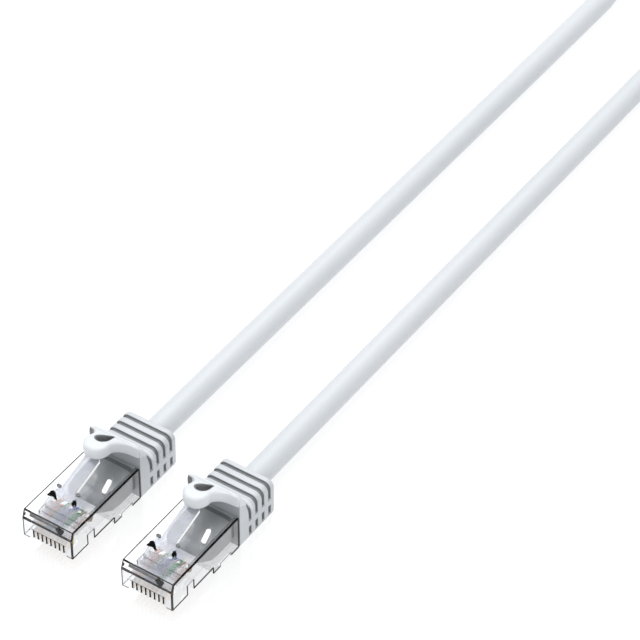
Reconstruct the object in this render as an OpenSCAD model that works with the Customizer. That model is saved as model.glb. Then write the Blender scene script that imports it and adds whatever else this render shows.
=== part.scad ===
// Ethernet patch cable: two 8-way modular plugs with snag-guard boots on one round cable.
// Millimetres, +Z up. The plugs lie side by side on z = 0, noses towards -Y, latches up.

/* [Layout] */

// distance between the centre lines of the two plugs
plug_pitch = 23.2; // [16:0.1:40]
// height of the cable's centre line where it leaves a boot
cable_exit_z = 4.15; // [3:0.05:5]

/* [Plug housing] */

// width of the housing
plug_w = 11.68; // [11.5:0.01:11.8]
// height of the housing's rear body
plug_h = 8.0; // [7.8:0.01:8.3]
// length of the housing
plug_l = 21.46; // [20:0.01:23]
// height of the nose's underside above the rear body's underside
nose_z = 1.5; // [1:0.05:2]
// distance from the nose to the step in the underside
step_y = 13.2; // [12:0.1:14]
// thickness of the housing's side walls
wall_t = 0.9; // [0.6:0.05:1.2]

/* [Latch] */

// width of the latch between its root and its shoulders
latch_wide = 6.05; // [5.9:0.05:6.2]
// width of the latch lever behind the shoulders
latch_narrow = 3.25; // [3.1:0.05:3.4]
// thickness of the latch
latch_t = 0.8; // [0.6:0.05:1.2]
// distance from the nose to the shoulders
shoulder_y = 5.3; // [4:0.1:9]
// distance from the nose to the latch's free end
latch_end_y = 15.4; // [13:0.1:17]
// slope of the free latch above the housing, in degrees
latch_slope = 17.5; // [12:0.5:22]

/* [Contacts and wires] */

// number of contacts and wires
ways = 8; // [8:1:8]
// distance between neighbouring contacts
contact_pitch = 1.016; // [1:0.001:1.03]
// thickness of a contact blade
contact_t = 0.32; // [0.2:0.01:0.4]
// outer diameter of an insulated wire
wire_d = 0.86; // [0.7:0.01:1]
// diameter of a wire's copper core
core_d = 0.48; // [0.3:0.01:0.6]

/* [Boot] */

// width of the boot
boot_w = 12.0; // [11:0.1:14]
// height of the boot's ribbed body
boot_h = 8.4; // [7.5:0.1:10]
// distance from the nose to the boot's rear end
boot_end_y = 33.0; // [28:0.1:40]
// width of a flex groove
groove_w = 0.7; // [0.4:0.05:1.2]
// depth of a flex groove
groove_depth = 0.55; // [0.3:0.05:1]
// distance between the flex grooves
groove_pitch = 2.15; // [1.5:0.05:3]
// top of the boot's raised front rim
rim_z = 13.3; // [11:0.1:15]

/* [Snag guard] */

// underside of the guard's finger pad
pad_z = 13.9; // [13:0.1:15]
// thickness of the guard
guard_t = 2.5; // [1.5:0.1:3]
// half of the pad's width
pad_half_w = 2.7; // [2:0.1:4]

/* [Cable] */

// outer diameter of the cable
cable_d = 5.3; // [4.8:0.1:6.5]
// inner diameter of the cable's jacket
jacket_bore = 4.3; // [3.5:0.1:5]
// where the hank's near bends have their centre, measured from the plugs' middle
hank_y = 231; // [225:1:260]
// length of the hank's straight runs
hank_l = 45.5; // [40:0.5:80]
// bend radius of the hank's outer turn, to the cable's centre line
hank_r = 21.2; // [19:0.1:24]

/* [Hidden] */

eps = 0.01;
// the plugs' noses lie this far in front of the origin
nose_y = -boot_end_y / 2;
half_w = plug_w / 2;

// where the latch bends, on the nose's top edge
latch_hinge = [0, 0.8, 8.0];
// where the snag guard bends, on the boot's front rim
guard_hinge = [0, 21.0, 11.7];
knuckle_r = 0.45;
guard_knuckle_r = 0.9;

// the wires' height through the load bar, and their two layers inside the jacket
wire_z = 5.0;
layer_top_z = cable_exit_z + 0.6;
layer_low_z = cable_exit_z - 0.6;
jacket_start_y = 13.5;
core_start_y = 9.6;

// free cable from each boot to the hank: x from the middle, y and z in the row's frame
run_a_points = [
  [-11.6, 16.5, 4.15], [-11.6, 30, 4.1], [-11.6, 50, 3.9], [-11.6, 70, 3.7], [-11.6, 90, 3.5],
  [-11.6, 110, 3.3], [-11.6, 130, 3.1], [-11.6, 150, 2.9], [-11.6, 170, 2.75], [-11.6, 190, 2.7],
  [-11.8, 196, 2.7], [-13.2, 203, 2.8], [-15.6, 210, 3.0], [-18.3, 217, 3.2]
];
// the second run comes down from the hank's upper layer
run_b_points = [
  [11.6, 16.5, 4.15], [11.6, 30, 4.1], [11.6, 50, 3.9], [11.6, 70, 3.7], [11.6, 90, 3.5],
  [11.6, 110, 3.3], [11.6, 130, 3.1], [11.6, 150, 2.9], [11.6, 170, 2.75], [11.7, 178, 2.75],
  [12.4, 186, 3.1], [14.5, 194, 3.9], [17.0, 202, 5.1], [19.4, 210, 6.5], [21.0, 218, 7.7]
];
// underside and top of the hank, which lies on its tie
hank_z0 = 0.75;
hank_z1 = 11.35;
hank_mid_y = hank_y + hank_l / 2;

// ------------------------------------------------------------ helpers

function wire_x(i) = (i - (ways + 1) / 2) * contact_pitch;
// odd wires go to the jacket's upper layer, even wires to the lower one
function layer_x(i) = (floor((i - 1) / 2) - 1.5) * 1.02;
function layer_z(i) = i % 2 == 1 ? layer_top_z : layer_low_z;

// stations along the plug where a wire's course is given
wire_stations = [1.0, 6.8, 7.4, 8.0, 8.6, 9.3, 10.0, 10.7, 11.4, 12.2, boot_end_y];
// smooth step from 0 to 1
function ease(t) = t <= 0 ? 0 : t >= 1 ? 1 : t * t * (3 - 2 * t);
// course of one wire: level through the load bar, then into its layer and together into the jacket
function wire_path(i) = [
  for (y = wire_stations) [
    wire_x(i) + (layer_x(i) - wire_x(i)) * ease((y - 8.2) / 4.0),
    y,
    wire_z + (layer_z(i) - wire_z) * ease((y - 7.0) / 1.8)
  ]
];

module at_plug(side) {
  translate([side * plug_pitch / 2, nose_y, 0]) children();
}

// straight round bar from p to q
module bar(p, q, d) {
  v = q - p;
  l = norm(v);
  translate(p)
    rotate([0, acos(v[2] / l), atan2(v[1], v[0])])
      cylinder(h = l, d = d, $fn = 24);
}

// unit vector along a route at point k
function along(path, k) =
  let (v = path[min(k + 1, len(path) - 1)] - path[max(k - 1, 0)]) v / norm(v);

// points of the rings around a route
function ring_points(path, d, sides) = [
  for (k = [0 : len(path) - 1])
    let (t = along(path, k), u = cross(t, [0, 0, 1]) / norm(cross(t, [0, 0, 1])), w = cross(u, t))
      for (j = [0 : sides - 1])
        path[k] + d / 2 * (cos(360 * j / sides) * u + sin(360 * j / sides) * w)
];

// wall faces between neighbouring rings, for points that start at index i0
function ring_walls(rings, sides, i0) = [
  for (k = [0 : rings - 2])
    for (j = [0 : sides - 1])
      let (n = (j + 1) % sides, a = i0 + k * sides, b = i0 + (k + 1) * sides)
        [a + j, b + j, b + n, a + n]
];

// solid bar swept along a route, with the given number of sides
module swept_bar(path, d, sides) {
  last = (len(path) - 1) * sides;
  polyhedron(
    points = ring_points(path, d, sides),
    faces = concat(
      ring_walls(len(path), sides, 0),
      [[for (j = [0 : sides - 1]) j]],
      [[for (j = [sides - 1 : -1 : 0]) last + j]]
    ),
    convexity = 6
  );
}

// hollow tube swept along a route
module swept_tube(path, d, bore, sides) {
  last = (len(path) - 1) * sides;
  i0 = len(path) * sides;
  inner = [for (f = ring_walls(len(path), sides, i0)) [f[3], f[2], f[1], f[0]]];
  polyhedron(
    points = concat(ring_points(path, d, sides), ring_points(path, bore, sides)),
    faces = concat(
      ring_walls(len(path), sides, 0),
      inner,
      [for (j = [0 : sides - 1]) let (n = (j + 1) % sides) [j, n, i0 + n, i0 + j]],
      [for (j = [0 : sides - 1]) let (n = (j + 1) % sides) [last + n, last + j, i0 + last + j, i0 + last + n]]
    ),
    convexity = 6
  );
}

// extrusion along X of an outline given in Y and Z
module side_profile(outline, x0, x1) {
  translate([x0, 0, 0])
    rotate([90, 0, 90])
      linear_extrude(height = x1 - x0) polygon(outline);
}

// block between two corners
module block(p, q) {
  translate(p) cube(q - p);
}

// rectangle with rounded corners, r_top above and r_low below
module rounded_section(w, h, r_top, r_low) {
  translate([-w / 2 + r_low, 0]) square([w - 2 * r_low, h / 2]);
  translate([-w / 2, r_low]) square([w, h - r_low - r_top]);
  translate([-w / 2 + r_top, h / 2]) square([w - 2 * r_top, h / 2]);
  for (s = [-1, 1]) {
    translate([s * (w / 2 - r_top), h - r_top]) circle(r = r_top, $fn = 48);
    translate([s * (w / 2 - r_low), r_low]) circle(r = r_low, $fn = 48);
  }
}

// rounded section extruded along Y
module boot_block(w, h, z0, y0, y1) {
  translate([0, y1, z0])
    rotate([90, 0, 0])
      linear_extrude(height = y1 - y0) rounded_section(w, h, 1.6, 0.8);
}

// ------------------------------------------------------------ plug housing

module housing_body() {
  side_profile([
    [0, nose_z], [0, 6.3], [0.6, plug_h], [plug_l, plug_h], [plug_l, 0],
    [step_y, 0], [step_y, nose_z]
  ], -half_w, half_w);
}

module housing_cavities() {
  // wire bay, load bar bay and the rear cavity for the cable
  block([-4.2, 0.9, 4.45], [4.2, 3.6, 5.6]);
  block([-4.45, 3.5, 4.2], [4.45, 8.6, 6.4]);
  side_profile([
    [7.4, 2.6], [7.4, 6.3], [8.6, 6.6], [9.4, 7.1], [plug_l + 1, 7.1], [plug_l + 1, 0.9], [14.2, 0.9],
    [11.5, 2.6]
  ], -half_w + wall_t, half_w - wall_t);
}

module housing(side) {
  color([0.86, 0.88, 0.9, 0.4])
  at_plug(side) {
    difference() {
      housing_body();
      housing_cavities();
      // contact slots, open at the nose and below
      for (i = [1 : ways]) {
        block([wire_x(i) - 0.19, -1, 0], [wire_x(i) + 0.19, 3.5, 3.95]);
        block([wire_x(i) - 0.19, 1.1, 3.9], [wire_x(i) + 0.19, 3.3, 4.6]);
      }
      // shallow recess around the contacts
      block([-4.35, -1, 1], [4.35, 0.25, 4.2]);
      // keyway notches in both lower edges
      for (s = [-1, 1]) {
        block([min(s * 4.75, s * 7), 4.75, 0], [max(s * 4.75, s * 7), 6.8, 4.1]);
        block([min(s * 4.95, s * 7), 15.4, -1], [max(s * 4.95, s * 7), 18.9, 0.8]);
      }
      // seat of the latch's root
      translate([0, latch_hinge[1], latch_hinge[2]])
        rotate([0, 90, 0]) cylinder(r = knuckle_r + 0.15, h = latch_wide + 0.3, center = true, $fn = 32);
      // window above the strain relief
      block([-2.9, 12.5, 6], [2.9, 16.2, 9]);
    }
    // strain relief bar, pressed down on the cable and held by its rear web
    block([-2.9, 13.0, 6.82], [2.9, 15.2, 7.6]);
    block([-2.9, 15.2, 7.1], [2.9, 16.2, 7.6]);
  }
}

// ------------------------------------------------------------ latch

module latch(side) {
  a = latch_slope;
  l_end = (latch_end_y - latch_hinge[1]) / cos(a);
  l_sh = (shoulder_y - latch_hinge[1]) / cos(a);
  color([0.9, 0.92, 0.94, 0.5])
  at_plug(side)
    translate(latch_hinge)
      rotate([a, 0, 0]) {
        linear_extrude(height = latch_t)
          polygon([
            [-latch_wide / 2, 0], [latch_wide / 2, 0], [latch_wide / 2, l_sh],
            [2.3, l_sh + 0.25], [2.3, l_sh + 1.4], [latch_narrow / 2, l_sh + 1.9],
            [latch_narrow / 2, l_end - 0.5], [latch_narrow / 2 - 0.5, l_end],
            [-latch_narrow / 2 + 0.5, l_end], [-latch_narrow / 2, l_end - 0.5],
            [-latch_narrow / 2, l_sh + 1.9], [-2.3, l_sh + 1.4], [-2.3, l_sh + 0.25],
            [-latch_wide / 2, l_sh]
          ]);
        // rounded root
        rotate([0, 90, 0]) cylinder(r = knuckle_r, h = latch_wide, center = true, $fn = 32);
        // locking shoulders stand a little proud of the lever
        block([-latch_wide / 2, l_sh - 0.9, latch_t - eps], [latch_wide / 2, l_sh, latch_t + 0.35]);
      }
}

// ------------------------------------------------------------ contacts, load bar and wires

module contacts(side) {
  color([0.85, 0.68, 0.3])
  at_plug(side)
    for (i = [1 : ways])
      side_profile([
        [0.4, 1.65], [3.3, 1.65], [3.3, 3.9], [3.0, 3.9], [3.0, 4.45], [2.75, wire_z - core_d / 2 - 0.02],
        [2.5, 4.45], [2.5, 3.9], [1.9, 3.9], [1.9, 4.45], [1.65, wire_z - core_d / 2 - 0.02],
        [1.4, 4.45], [1.4, 3.9], [0.4, 3.4]
      ], wire_x(i) - contact_t / 2, wire_x(i) + contact_t / 2);
}

module load_bar(side) {
  color([0.82, 0.86, 0.88, 0.6])
  at_plug(side)
    difference() {
      block([-4.35, 3.7, 4.25], [4.35, 6.6, 6.3]);
      for (i = [1 : ways]) bar([wire_x(i), 3, wire_z], [wire_x(i), 7.5, wire_z], wire_d + 0.08);
    }
}

// two insulated wires, with slots where the contact tines pierce them
module wire_pair(side, pair, tint) {
  color(tint)
  at_plug(side)
    for (i = pair)
      difference() {
        swept_tube(wire_path(i), wire_d, core_d + 0.06, 8);
        block([wire_x(i) - 0.19, 1.3, 4], [wire_x(i) + 0.19, 2.0, wire_z]);
        block([wire_x(i) - 0.19, 2.4, 4], [wire_x(i) + 0.19, 3.1, wire_z]);
      }
}

module copper_cores(side) {
  color([0.72, 0.42, 0.24])
  at_plug(side)
    for (i = [1 : ways]) swept_bar(wire_path(i), core_d, 6);
}

module jacket_end(side) {
  color([0.9, 0.91, 0.93])
  at_plug(side)
    translate([0, boot_end_y, cable_exit_z])
      rotate([90, 0, 0])
        difference() {
          cylinder(d = cable_d, h = boot_end_y - jacket_start_y, $fn = 64);
          translate([0, 0, -1]) cylinder(d = jacket_bore, h = boot_end_y, $fn = 64);
        }
}

// ------------------------------------------------------------ boot

// raised front rim that carries the snag guard
module front_rim() {
  intersection() {
    side_profile([
      [plug_l + 0.04, 1], [plug_l + 0.04, rim_z], [22.0, rim_z], [25.5, boot_h - 0.3], [25.5, 1]
    ], -boot_w / 2, boot_w / 2);
    boot_block(boot_w, rim_z, 0, plug_l + 0.04, 26);
  }
}

// one flex groove around the top and down both sides
module full_groove(y) {
  difference() {
    block([-8, y - groove_w / 2, 0.9], [8, y + groove_w / 2, 10]);
    boot_block(boot_w - 2 * groove_depth, boot_h - groove_depth, 0, y - 1, y + 1);
    block([-8, y - 1, 3.75], [8, y + 1, 5.15]);
    block([-8, y - 1, -1], [8, y + 1, 0.9]);
  }
}

module boot(side) {
  color([0.88, 0.9, 0.92])
  at_plug(side)
    difference() {
      union() {
        boot_block(boot_w, boot_h, 0, plug_l + 0.04, boot_end_y);
        front_rim();
        // moulded core that fills the housing's rear cavity
        side_profile([
          [core_start_y, 2.9], [core_start_y, 5.6], [core_start_y + 1.4, 7.05], [22, 7.05], [22, 0.95],
          [14.4, 0.95], [11.7, 2.7]
        ], -4.85, 4.85);
      }
      for (k = [0 : 2]) full_groove(27.1 + k * groove_pitch);
      // short front grooves on the sides only, bent forwards at their top
      for (s = [-1, 1]) {
        x0 = min(s * (boot_w / 2 - groove_depth), s * 8);
        x1 = max(s * (boot_w / 2 - groove_depth), s * 8);
        block([x0, 24.6, 0.9], [x1, 24.6 + groove_w, 3.75]);
        side_profile([
          [24.6, 5.15], [24.6 + groove_w, 5.15], [24.6 + groove_w, 7.9], [24.5, 9.4], [24.0, 9.0], [24.6, 7.7]
        ], x0, x1);
      }
      // bore for the cable, and room for the wires in front of it
      bar([0, jacket_start_y - 0.05, cable_exit_z], [0, boot_end_y + 1, cable_exit_z], cable_d + 0.02);
      block([-4.3, 8, 3.0], [4.3, jacket_start_y, 5.6]);
      // pocket under the strain relief bar
      block([-3, 12.4, 6.6], [3, 16.4, 8]);
      // seat of the snag guard's root
      translate(guard_hinge)
        rotate([0, 90, 0]) cylinder(r = guard_knuckle_r + 0.15, h = 20, center = true, $fn = 48);
    }
}

// ------------------------------------------------------------ snag guard

// half width of the guard: a rounded pad, a neck and a flare to the boot's full width
function guard_half(y) =
  y < 16.2 ? pad_half_w * sqrt(max(0, 1 - pow((16.2 - y) / 2.6, 2)))
  : pad_half_w - 0.15 + (boot_w / 2 - pad_half_w + 0.15) * pow(max(0, (y - 17.0) / 4.4), 2);
// underside of the guard
function guard_low(y) = pad_z - (pad_z - 10.9) * ease((y - 15.6) / 5.8);

// finger pad, neck and flare, joined to the rim by its rounded root
module snag_guard(side) {
  ys = [for (k = [0 : 40]) 13.6 + 7.0 * pow(k / 40, 1.35)];
  color([0.93, 0.95, 0.97])
  at_plug(side)
    difference() {
      union() {
        intersection() {
          translate([0, 0, 5])
            linear_extrude(height = 15)
              polygon(concat(
                [for (y = ys) [guard_half(y), y]],
                [for (k = [40 : -1 : 0]) [-guard_half(ys[k]), ys[k]]]
              ));
          side_profile(concat(
            [for (k = [0 : 14]) [13 + k * 0.56, guard_low(13 + k * 0.56)]],
            [for (k = [14 : -1 : 0]) [13 + k * 0.56, guard_low(13 + k * 0.56) + guard_t]]
          ), -8, 8);
        }
        translate(guard_hinge)
          rotate([0, 90, 0]) cylinder(r = guard_knuckle_r, h = boot_w - 0.6, center = true, $fn = 48);
      }
      // drop-shaped window over the latch
      translate([0, 17.9, 5]) cylinder(r = 1.15, h = 15, $fn = 48);
      translate([0, 0, 5])
        linear_extrude(height = 15) polygon([[-1.15, 17.9], [1.15, 17.9], [0.35, 20.0], [-0.35, 20.0]]);
    }
}

// ------------------------------------------------------------ free cable

module cable_run_a() {
  color([0.9, 0.91, 0.93]) swept_bar(run_a_points, cable_d, 12);
}

module cable_run_b() {
  color([0.93, 0.94, 0.96]) swept_bar(run_b_points, cable_d, 12);
}

// outline of a loop with two straight runs and round ends
module loop_outline(r) {
  for (y = [hank_y, hank_y + hank_l]) translate([0, y]) circle(r = r, $fn = 96);
  translate([-r, hank_y]) square([2 * r, hank_l]);
}

// outer shape of the folded middle of the cable: two and three quarter turns in two layers
module cable_hank() {
  color([0.92, 0.93, 0.95])
    translate([0, 0, hank_z0])
      linear_extrude(height = hank_z1 - hank_z0)
        difference() {
          loop_outline(hank_r + cable_d / 2 + 0.1);
          loop_outline(hank_r - 1.5 * cable_d - 0.1);
        }
}

// strap around the middle of the hank
module cable_tie() {
  x = hank_r + cable_d / 2 + 0.1;
  color([0.2, 0.21, 0.22])
    translate([0, hank_mid_y, 0])
      difference() {
        block([-x - 0.8, -4, 0], [x + 0.8, 4, 12.1]);
        block([-x, -5, hank_z0], [x, 5, hank_z1]);
      }
}

// ------------------------------------------------------------ nodes

housing(-1);  // housing_a
latch(-1);  // latch_a
contacts(-1);  // contacts_a
load_bar(-1);  // load_bar_a
wire_pair(-1, [1, 2], [0.93, 0.55, 0.25]);  // wires_orange_a
wire_pair(-1, [3, 6], [0.35, 0.65, 0.35]);  // wires_green_a
wire_pair(-1, [4, 5], [0.35, 0.42, 0.75]);  // wires_blue_a
wire_pair(-1, [7, 8], [0.5, 0.33, 0.22]);  // wires_brown_a
copper_cores(-1);  // copper_cores_a
jacket_end(-1);  // jacket_end_a
boot(-1);  // boot_a
snag_guard(-1);  // snag_guard_a
housing(1);  // housing_b
latch(1);  // latch_b
contacts(1);  // contacts_b
load_bar(1);  // load_bar_b
wire_pair(1, [1, 2], [0.93, 0.55, 0.25]);  // wires_orange_b
wire_pair(1, [3, 6], [0.35, 0.65, 0.35]);  // wires_green_b
wire_pair(1, [4, 5], [0.35, 0.42, 0.75]);  // wires_blue_b
wire_pair(1, [7, 8], [0.5, 0.33, 0.22]);  // wires_brown_b
copper_cores(1);  // copper_cores_b
jacket_end(1);  // jacket_end_b
boot(1);  // boot_b
snag_guard(1);  // snag_guard_b
cable_run_a();
cable_run_b();
cable_hank();
cable_tie();
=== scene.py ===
"""Ethernet patch cable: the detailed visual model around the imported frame.

The scene is in metres. A plug's own drawing is in millimetres, with its nose at y = 0 and its underside
at z = 0.
"""

import math
from bisect import bisect_right

import bmesh
import bpy
from mathutils import Matrix, Vector


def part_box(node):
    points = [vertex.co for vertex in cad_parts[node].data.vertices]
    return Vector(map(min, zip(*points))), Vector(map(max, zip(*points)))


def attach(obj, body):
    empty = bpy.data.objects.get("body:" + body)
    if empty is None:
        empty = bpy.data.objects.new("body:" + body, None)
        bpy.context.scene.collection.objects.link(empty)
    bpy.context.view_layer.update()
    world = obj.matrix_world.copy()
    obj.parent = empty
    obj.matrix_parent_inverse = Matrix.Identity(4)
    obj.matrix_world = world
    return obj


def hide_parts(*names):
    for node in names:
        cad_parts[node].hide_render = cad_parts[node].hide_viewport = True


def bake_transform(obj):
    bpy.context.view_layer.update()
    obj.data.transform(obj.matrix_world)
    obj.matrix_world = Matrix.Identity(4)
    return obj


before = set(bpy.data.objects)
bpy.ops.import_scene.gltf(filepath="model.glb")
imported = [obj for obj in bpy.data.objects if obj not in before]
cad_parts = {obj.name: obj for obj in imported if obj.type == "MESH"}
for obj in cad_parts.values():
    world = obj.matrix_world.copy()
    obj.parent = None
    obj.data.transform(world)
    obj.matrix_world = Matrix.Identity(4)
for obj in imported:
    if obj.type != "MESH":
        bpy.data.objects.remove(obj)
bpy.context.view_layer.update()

MM = 0.001
ENDS = {"a": -1, "b": 1}
PLUG_X = 11.6  # half of the distance between the plugs, mm
NOSE_Y = -16.5  # where the noses lie in the frame, mm
HALF_W, PLUG_H, PLUG_L = 5.84, 8.0, 21.4  # the plug, mm
WIRE_PITCH = 1.016  # mm
CABLE_D = 0.0053  # m
WAYS = range(1, 9)

scene = bpy.context.scene


# ------------------------------------------------------------ camera, light and floor

CAMERA_PLACE = (240.208, -303.971, 402.261)  # mm
CAMERA_FORWARD = (-0.40994612, 0.61824788, -0.670607)
CAMERA_ROLL = 0.453  # degrees
SENSOR, LENS = 36, 163.693125  # mm
FLOOR_HALF = 4.0  # m


def make_camera():
    forward = Vector(CAMERA_FORWARD).normalized()
    level_right = forward.cross(Vector((0, 0, 1))).normalized()
    level_up = level_right.cross(forward)
    roll = math.radians(CAMERA_ROLL)
    right = level_right * math.cos(roll) + level_up * math.sin(roll)
    up = level_up * math.cos(roll) - level_right * math.sin(roll)
    data = bpy.data.cameras.new("camera")
    data.sensor_width = SENSOR
    data.lens = LENS
    data.clip_start, data.clip_end = 0.01, 20
    camera = bpy.data.objects.new("camera", data)
    turn = Matrix((right, up, -forward)).transposed().to_4x4()
    turn.translation = Vector(CAMERA_PLACE) * MM
    camera.matrix_world = turn
    scene.collection.objects.link(camera)
    scene.camera = camera


def area_light(name, location, target, side, energy):
    """A square white light that faces the target."""
    data = bpy.data.lights.new(name, "AREA")
    data.shape, data.size, data.size_y = "RECTANGLE", side, side
    data.energy = energy
    light = bpy.data.objects.new(name, data)
    light.location = location
    light.rotation_euler = (Vector(target) - Vector(location)).to_track_quat("-Z", "Y").to_euler()
    scene.collection.objects.link(light)


def make_studio():
    world = bpy.data.worlds.new("studio")
    world.use_nodes = True
    background = world.node_tree.nodes["Background"]
    background.inputs["Color"].default_value = (0.97, 0.985, 1.0, 1)
    background.inputs["Strength"].default_value = 0.5
    scene.world = world
    area_light("top", (-0.25, 0.25, 1.1), (0, 0.08, 0), 1.3, 13.0)
    area_light("front", (0.5, -0.7, 0.5), (0, 0.0, 0), 0.5, 1.0)
    scene.view_settings.view_transform = "Standard"
    scene.view_settings.look = "None"


# ------------------------------------------------------------ materials


def material(name):
    mat = bpy.data.materials.new(name)
    mat.use_nodes = True
    tree = mat.node_tree
    return mat, tree, tree.nodes["Principled BSDF"]


def texture(tree, scale, detail=3.0, stretch=(1, 1, 1)):
    """Noise in object coordinates, in cycles per metre."""
    coordinates = tree.nodes.new("ShaderNodeTexCoord")
    mapping = tree.nodes.new("ShaderNodeMapping")
    mapping.inputs["Scale"].default_value = stretch
    noise = tree.nodes.new("ShaderNodeTexNoise")
    noise.inputs["Scale"].default_value = scale
    noise.inputs["Detail"].default_value = detail
    tree.links.new(coordinates.outputs["Object"], mapping.inputs["Vector"])
    tree.links.new(mapping.outputs["Vector"], noise.inputs["Vector"])
    return noise.outputs["Fac"]


def ramp(tree, fac, dark, light):
    """Colour from dark to light over the middle of the noise's range."""
    node = tree.nodes.new("ShaderNodeValToRGB")
    for stop, position, colour in zip(node.color_ramp.elements, (0.3, 0.7), (dark, light)):
        stop.position = position
        stop.color = (*colour, 1)
    tree.links.new(fac, node.inputs["Fac"])
    return node.outputs["Color"]


def spread(tree, fac, low, high):
    """Number from low to high over the middle of the noise's range."""
    node = tree.nodes.new("ShaderNodeMapRange")
    node.inputs["From Min"].default_value, node.inputs["From Max"].default_value = 0.3, 0.7
    node.inputs["To Min"].default_value, node.inputs["To Max"].default_value = low, high
    tree.links.new(fac, node.inputs["Value"])
    return node.outputs["Result"]


def bump(tree, fac, distance, strength):
    node = tree.nodes.new("ShaderNodeBump")
    node.inputs["Distance"].default_value = distance
    node.inputs["Strength"].default_value = strength
    tree.links.new(fac, node.inputs["Height"])
    return node.outputs["Normal"]


def moulded(name, dark, light, rough=(0.38, 0.5), grain=9000, depth=0.00002, blotch=160, stretch=(1, 1, 1),
            specular=0.5, glow=0.0):
    """Moulded plastic or cloth: a little cloudy in colour, with a fine grain."""
    mat, tree, shader = material(name)
    cloud = texture(tree, blotch, 4, stretch)
    tree.links.new(ramp(tree, cloud, dark, light), shader.inputs["Base Color"])
    fine = texture(tree, grain, 3, stretch)
    tree.links.new(spread(tree, fine, *rough), shader.inputs["Roughness"])
    tree.links.new(bump(tree, fine, depth, 0.35), shader.inputs["Normal"])
    shader.inputs["Specular IOR Level"].default_value = specular
    shader.inputs["Emission Color"].default_value = (1, 1, 1, 1)
    shader.inputs["Emission Strength"].default_value = glow
    return mat


def clear(name, tint, haze_colour, haze=(0.06, 0.12), gloss=0.6, roughness=0.06):
    """Clear polycarbonate: what is behind shows through an uneven haze, and gloss grows at grazing angles."""
    mat, tree, shader = material(name)
    shader.inputs["Base Color"].default_value = (*haze_colour, 1)
    shader.inputs["Roughness"].default_value = 0.35
    see = tree.nodes.new("ShaderNodeBsdfTransparent")
    see.inputs["Color"].default_value = (*tint, 1)
    shine = tree.nodes.new("ShaderNodeBsdfGlossy")
    shine.inputs["Roughness"].default_value = roughness
    shine.inputs["Color"].default_value = (1, 1, 1, 1)
    flow = texture(tree, 420, 4, (1, 0.35, 1))
    body = tree.nodes.new("ShaderNodeMixShader")
    tree.links.new(spread(tree, flow, *haze), body.inputs["Fac"])
    tree.links.new(see.outputs[0], body.inputs[1])
    tree.links.new(shader.outputs[0], body.inputs[2])
    grazing = tree.nodes.new("ShaderNodeLayerWeight")
    grazing.inputs["Blend"].default_value = 0.18
    share = tree.nodes.new("ShaderNodeMath")
    share.operation = "MULTIPLY_ADD"
    share.inputs[1].default_value, share.inputs[2].default_value = gloss, 0.012
    tree.links.new(grazing.outputs["Facing"], share.inputs[0])
    tree.links.new(bump(tree, flow, 0.00001, 0.1), shine.inputs["Normal"])
    mix = tree.nodes.new("ShaderNodeMixShader")
    tree.links.new(share.outputs[0], mix.inputs["Fac"])
    tree.links.new(body.outputs[0], mix.inputs[1])
    tree.links.new(shine.outputs[0], mix.inputs[2])
    tree.links.new(mix.outputs[0], tree.nodes["Material Output"].inputs["Surface"])
    return mat


def metal(name, dark, light, stretch=(1, 1, 6)):
    mat, tree, shader = material(name)
    grain = texture(tree, 5000, 3, stretch)
    tree.links.new(ramp(tree, grain, dark, light), shader.inputs["Base Color"])
    tree.links.new(spread(tree, grain, 0.18, 0.36), shader.inputs["Roughness"])
    tree.links.new(bump(tree, grain, 0.00001, 0.3), shader.inputs["Normal"])
    shader.inputs["Metallic"].default_value = 1.0
    return mat


def insulation(name, dark, light):
    return moulded(name, dark, light, grain=14000, blotch=900)


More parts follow.
